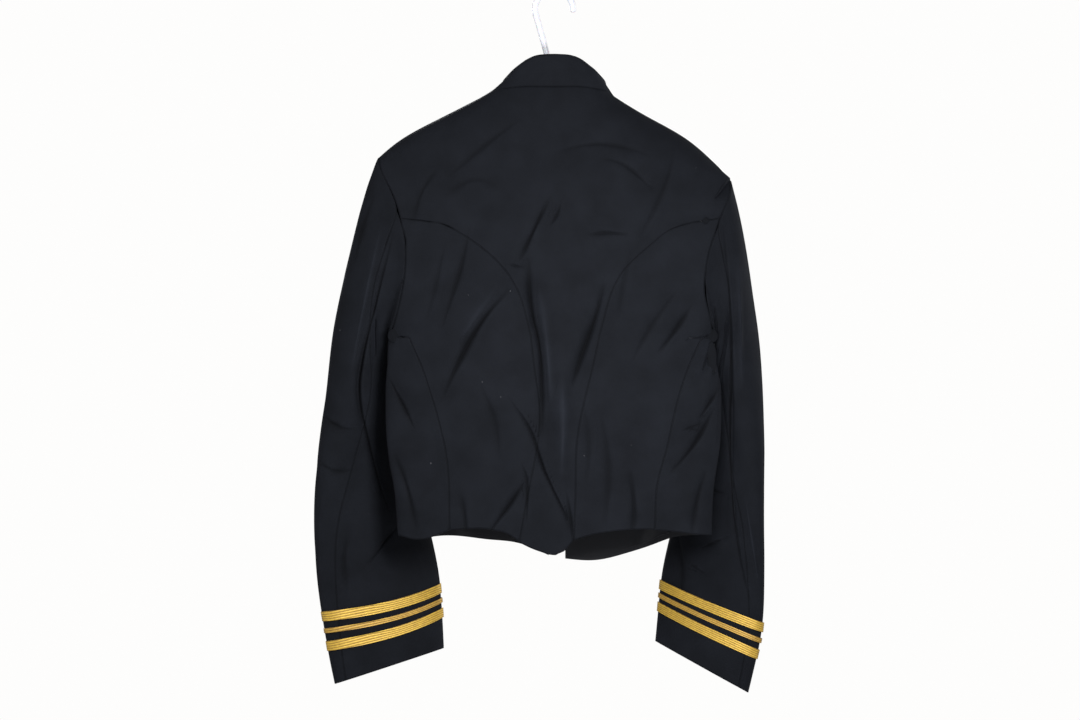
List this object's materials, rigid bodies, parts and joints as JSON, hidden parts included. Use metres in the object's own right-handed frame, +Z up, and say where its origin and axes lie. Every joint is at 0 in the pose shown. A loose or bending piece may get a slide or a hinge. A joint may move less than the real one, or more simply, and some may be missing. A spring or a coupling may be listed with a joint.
{
  "type": "mess jacket on a hanger",
  "caption": "Short dark navy mess jacket with gold lace rings on its cuffs, hung on a plain plastic hanger by its hook.",
  "frame": {"origin": "the bearing point inside the top of the hanger's hook, where a rail carries it", "axes": "+Z up, the jacket's front towards -Y, the wearer's left towards +X"},
  "size_m": [0.5812, 0.1548, 0.9073],
  "materials": {
    "navy_cloth": "fine dark navy wool cloth, pressed, with a soft dull sheen",
    "gold_lace": "ribbed gold wire lace, lustrous",
    "satin_lining": "dark smooth satin lining with a soft shine",
    "hanger_plastic": "pale moulded plastic, smooth"
  },
  "bodies": {
    "root": {"back_centre": "navy_cloth", "collar": "navy_cloth", "front_left": "navy_cloth", "front_right": "navy_cloth", "hanger_arms": "hanger_plastic", "hanger_hook": "hanger_plastic", "lace_lower_left": "gold_lace", "lace_lower_right": "gold_lace", "lace_middle_left": "gold_lace", "lace_middle_right": "gold_lace", "lace_upper_left": "gold_lace", "lace_upper_right": "gold_lace", "lapel_left": "navy_cloth", "lapel_right": "navy_cloth", "lining_left": "satin_lining", "lining_right": "satin_lining", "side_back_left": "navy_cloth", "side_back_right": "navy_cloth", "sleeve_top_left": "navy_cloth", "sleeve_top_right": "navy_cloth", "sleeve_under_left": "navy_cloth", "sleeve_under_right": "navy_cloth"}
  },
  "joints": []
}
